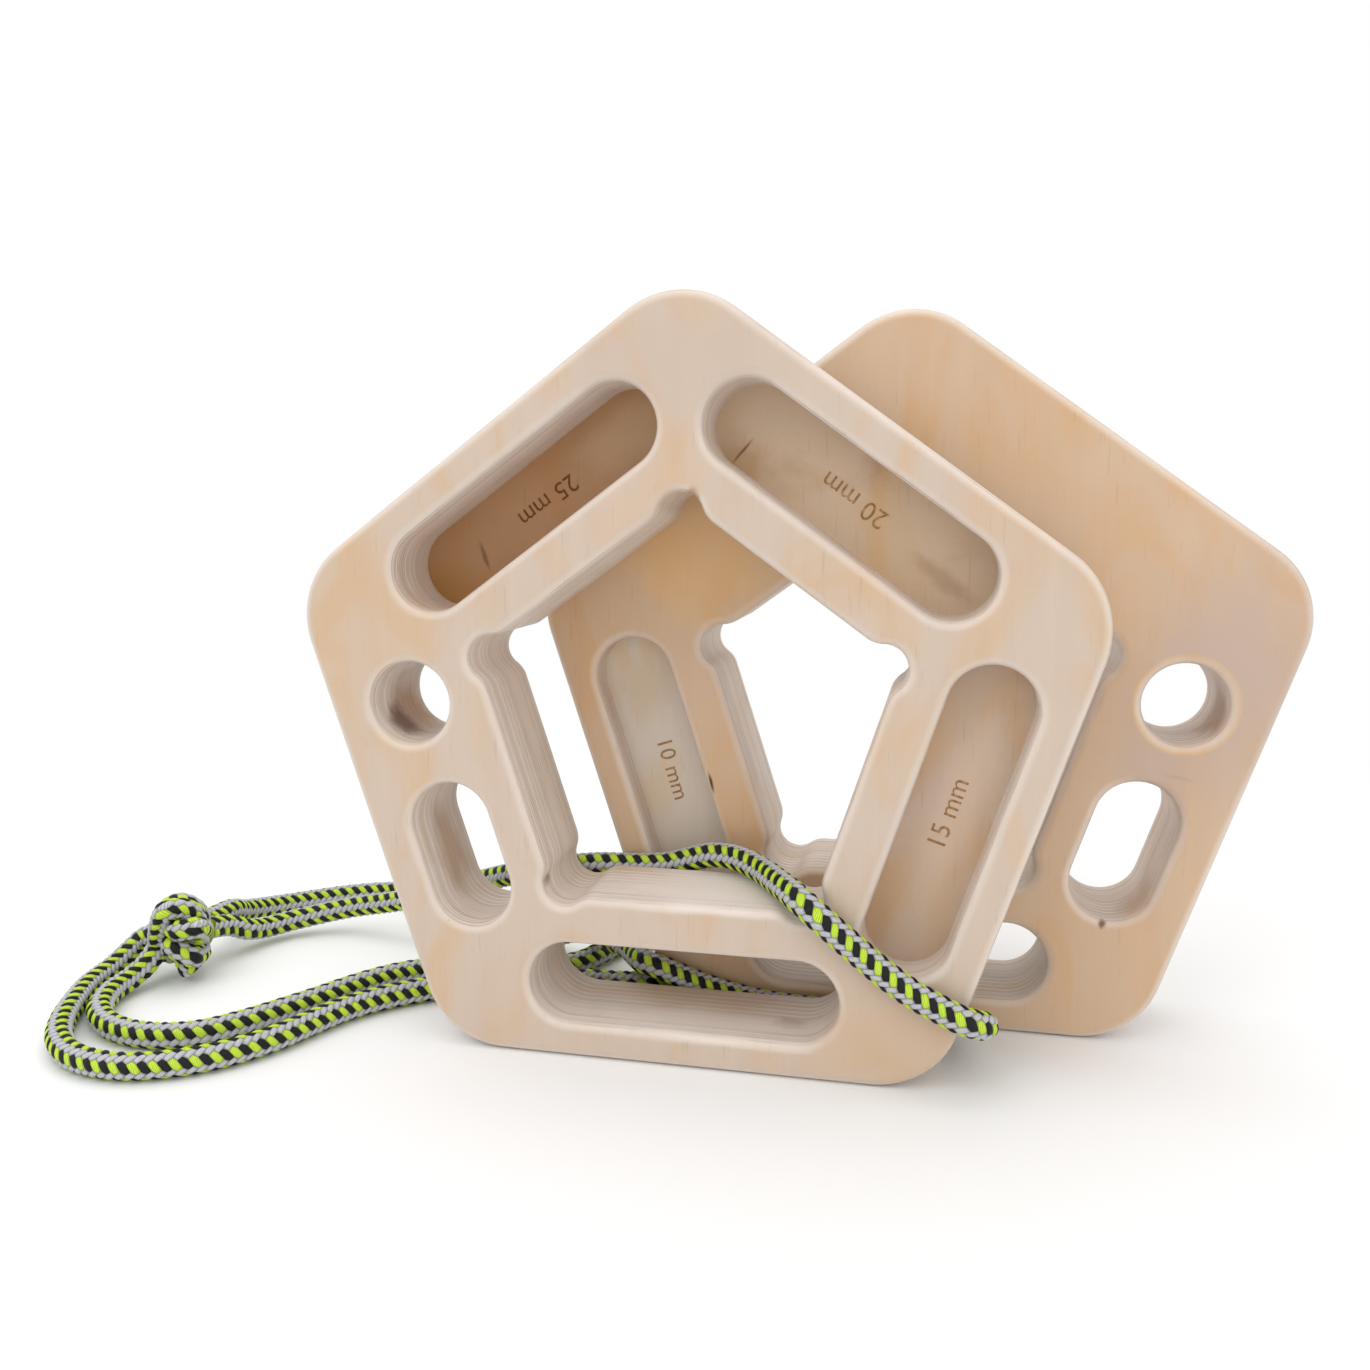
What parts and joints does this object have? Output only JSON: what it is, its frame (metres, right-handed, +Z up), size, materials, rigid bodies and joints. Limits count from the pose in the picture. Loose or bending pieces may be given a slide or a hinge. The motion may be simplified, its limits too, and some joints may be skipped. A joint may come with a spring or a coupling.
{
  "type": "portable hangboard",
  "caption": "Portable hangboard: pentagonal plywood boards with finger pockets round an open centre, tied together by a knotted braided cord.",
  "frame": {"origin": "on the floor under the middle of the two boards' bounding box", "axes": "+Z up, -Y towards the front board's face, +X to the right seen from the front"},
  "size_m": [0.3797, 0.1669, 0.2177],
  "materials": {
    "birch_ply_pale": "satin",
    "birch_ply_tan": "satin",
    "braid_front_loop": "matte",
    "braid_outer_strand": "matte",
    "braid_inner_strand": "matte",
    "braid_bight": "matte",
    "braid_knot": "matte"
  },
  "bodies": {
    "front": {"front_board": "birch_ply_pale", "front_cord_loop": "braid_front_loop", "cord_knot": "braid_knot", "rear_cord_outer_strand": "braid_outer_strand", "rear_cord_inner_strand": "braid_inner_strand"},
    "rear": {"rear_board": "birch_ply_tan", "rear_cord_bight": "braid_bight"}
  },
  "joints": [
    {"name": "rear_board_slide", "type": "slide", "parent": "front", "child": "rear", "axis": [0, 1, 0], "range_m": [0, 0.06]}
  ]
}
